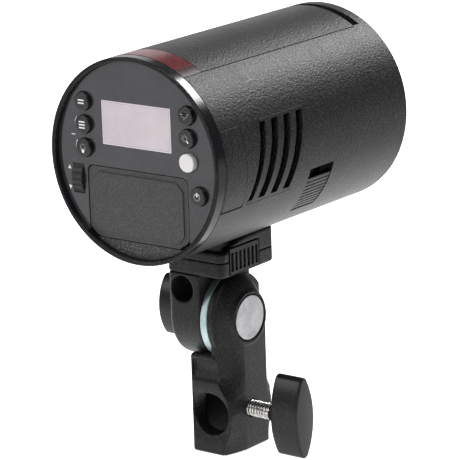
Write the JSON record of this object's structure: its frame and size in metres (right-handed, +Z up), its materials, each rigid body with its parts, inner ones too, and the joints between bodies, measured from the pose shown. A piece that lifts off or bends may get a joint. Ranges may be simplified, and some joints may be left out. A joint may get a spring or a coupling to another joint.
{
  "type": "monolight strobe",
  "caption": "Compact battery studio strobe: round head with rear control panel and slide-out battery on a tilting quick-release stand bracket.",
  "frame": {"origin": "centre of the stand socket's mouth, at the underside of the bracket", "axes": "+Z up along the stand socket, +Y towards the front glass along the lamp axis, +X to the right seen from behind the panel"},
  "size_m": [0.076, 0.1177, 0.1565],
  "materials": {
    "shell_black": "fine-grain black coating with a faint sparkle",
    "cover_black": "smooth satin black",
    "bezel_black": "gloss black",
    "panel_gloss": "gloss dark grey panel",
    "battery_grain": "fine matte grain",
    "trim_coarse": "coarse matte grain",
    "button_black": "satin black",
    "button_white": "satin white",
    "window_red": "translucent dark red",
    "display_glass": "gloss, pale lavender grey",
    "display_grey": "display module",
    "board_green": "circuit board",
    "part_dark": "moulded electronic parts",
    "steel": "machined steel",
    "zinc": "blue-green zinc plating",
    "cap_silver": "satin silver",
    "gold_contact": "gold-plated contacts",
    "cell_blue": "shrink wrap",
    "reflector_silver": "bright reflector",
    "tube_glass": "clear flash tube",
    "led_yellow": "modelling light emitters",
    "front_frosted": "frosted prismatic front glass",
    "cast_black": "sand-textured black paint on casting",
    "knob_black": "satin black",
    "rubber_black": "rubber",
    "jack_metal": "stamped metal shell"
  },
  "bodies": {
    "bracket": {"bracket_body": "cast_black", "tilt_cap": "cap_silver"},
    "tilt_head": {"tilt_block": "cast_black", "tilt_disc": "zinc", "shoe_lower": "cast_black"},
    "head": {"main_shell": "shell_black", "top_cover": "shell_black", "sensor_window": "window_red", "rear_bezel": "bezel_black", "control_panel": "panel_gloss", "lower_trim": "trim_coarse", "display_window": "display_glass", "display_module": "display_grey", "control_board": "board_green", "tact_switches": "part_dark", "dial_axle": "steel", "dial_bracket": "part_dark", "battery_bay": "part_dark", "port_hinge_pin": "steel", "port_block": "part_dark", "usb_port": "jack_metal", "sync_jack": "gold_contact", "vent_grille_right": "cover_black", "vent_grille_left": "cover_black", "power_board": "board_green", "board_parts": "part_dark", "main_capacitor": "part_dark", "fan_frame": "part_dark", "bulkhead": "part_dark", "reflector": "reflector_silver", "flash_tube": "tube_glass", "modelling_leds": "led_yellow", "front_glass": "front_frosted", "front_ring": "bezel_black", "shoe_upper": "cast_black", "saddle_screws": "steel", "release_spring": "steel"},
    "battery": {"battery_case": "cover_black", "battery_face": "battery_grain", "battery_cells": "cell_blue", "battery_contacts": "gold_contact"},
    "dial": {"control_dial": "rubber_black"},
    "release_slider": {"battery_release": "cover_black"},
    "port_flap": {"port_cover": "cover_black"},
    "fan": {"fan_rotor": "part_dark"},
    "shoe_button": {"release_button": "cover_black"},
    "tilt_lock": {"tilt_knob": "knob_black", "tilt_bolt": "steel"},
    "stand_clamp_pad": {"stand_pad": "gold_contact"},
    "stand_clamp_knob": {"stand_knob": "knob_black", "stand_screw": "zinc"},
    "mode_key": {"mode_button": "button_black"},
    "menu_key": {"menu_button": "button_black"},
    "lamp_key": {"lamp_button": "button_black"},
    "channel_key": {"channel_button": "button_black"},
    "zoom_key": {"zoom_button": "button_black"},
    "test_key": {"test_button": "button_white"},
    "power_key": {"power_button": "button_black"}
  },
  "joints": [
    {"name": "tilt", "type": "hinge", "parent": "bracket", "child": "tilt_head", "pos_m": [0, 0, 0.0505], "axis": [1, 0, 0], "range_deg": [-85, 60]},
    {"name": "quick_release", "type": "slide", "parent": "tilt_head", "child": "head", "axis": [0, 0, 1], "range_m": [0, 0.03]},
    {"name": "battery_slide", "type": "slide", "parent": "head", "child": "battery", "axis": [0, -1, 0], "range_m": [0, 0.072]},
    {"name": "dial_turn", "type": "hinge", "parent": "head", "child": "dial", "pos_m": [-0.027, -0.0396, 0.10885], "axis": [1, 0, 0], "continuous": true},
    {"name": "battery_release_slide", "type": "hinge", "parent": "head", "child": "release_slider", "pos_m": [0, 0.01505, 0.1182], "axis": [0, -1, 0], "range_deg": [0, 5.5], "stiffness_Nm_per_rad": 1, "springref_deg": -11.46},
    {"name": "port_flap_hinge", "type": "hinge", "parent": "head", "child": "port_flap", "pos_m": [0.03392, -0.0376, 0.10366], "axis": [0, 1, 0], "range_deg": [0, 75]},
    {"name": "fan_spin", "type": "hinge", "parent": "head", "child": "fan", "pos_m": [0, 0.0329, 0.1182], "axis": [0, 1, 0], "continuous": true},
    {"name": "shoe_button_press", "type": "slide", "parent": "tilt_head", "child": "shoe_button", "axis": [-1, 0, 0], "range_m": [0, 0.0015], "stiffness_N_per_m": 800, "springref_m": -0.002},
    {"name": "tilt_knob_turn", "type": "hinge", "parent": "tilt_head", "child": "tilt_lock", "pos_m": [-0.02, 0, 0.0505], "axis": [1, 0, 0], "range_deg": [-170, 180]},
    {"name": "clamp_pad_slide", "type": "slide", "parent": "bracket", "child": "stand_clamp_pad", "axis": [-1, 0, 0], "range_m": [-0.002, 0.004]},
    {"name": "clamp_knob_turn", "type": "hinge", "parent": "stand_clamp_pad", "child": "stand_clamp_knob", "pos_m": [0.0221, 0, 0.0153], "axis": [-1, 0, 0], "range_deg": [-750, 1500]},
    {"name": "mode_press", "type": "slide", "parent": "head", "child": "mode_key", "axis": [0, 1, 0], "range_m": [0, 0.0008], "stiffness_N_per_m": 600, "springref_m": -0.001},
    {"name": "menu_press", "type": "slide", "parent": "head", "child": "menu_key", "axis": [0, 1, 0], "range_m": [0, 0.0008], "stiffness_N_per_m": 600, "springref_m": -0.001},
    {"name": "lamp_press", "type": "slide", "parent": "head", "child": "lamp_key", "axis": [0, 1, 0], "range_m": [0, 0.0008], "stiffness_N_per_m": 600, "springref_m": -0.001},
    {"name": "channel_press", "type": "slide", "parent": "head", "child": "channel_key", "axis": [0, 1, 0], "range_m": [0, 0.0008], "stiffness_N_per_m": 600, "springref_m": -0.001},
    {"name": "zoom_press", "type": "slide", "parent": "head", "child": "zoom_key", "axis": [0, 1, 0], "range_m": [0, 0.0008], "stiffness_N_per_m": 600, "springref_m": -0.001},
    {"name": "test_press", "type": "slide", "parent": "head", "child": "test_key", "axis": [0, 1, 0], "range_m": [0, 0.0008], "stiffness_N_per_m": 600, "springref_m": -0.001},
    {"name": "power_press", "type": "slide", "parent": "head", "child": "power_key", "axis": [0, 1, 0], "range_m": [0, 0.0008], "stiffness_N_per_m": 600, "springref_m": -0.001}
  ],
  "couplings": [
    {"joint": "clamp_knob_turn", "follows": "clamp_pad_slide", "rad_per_m": 6283.2}
  ]
}
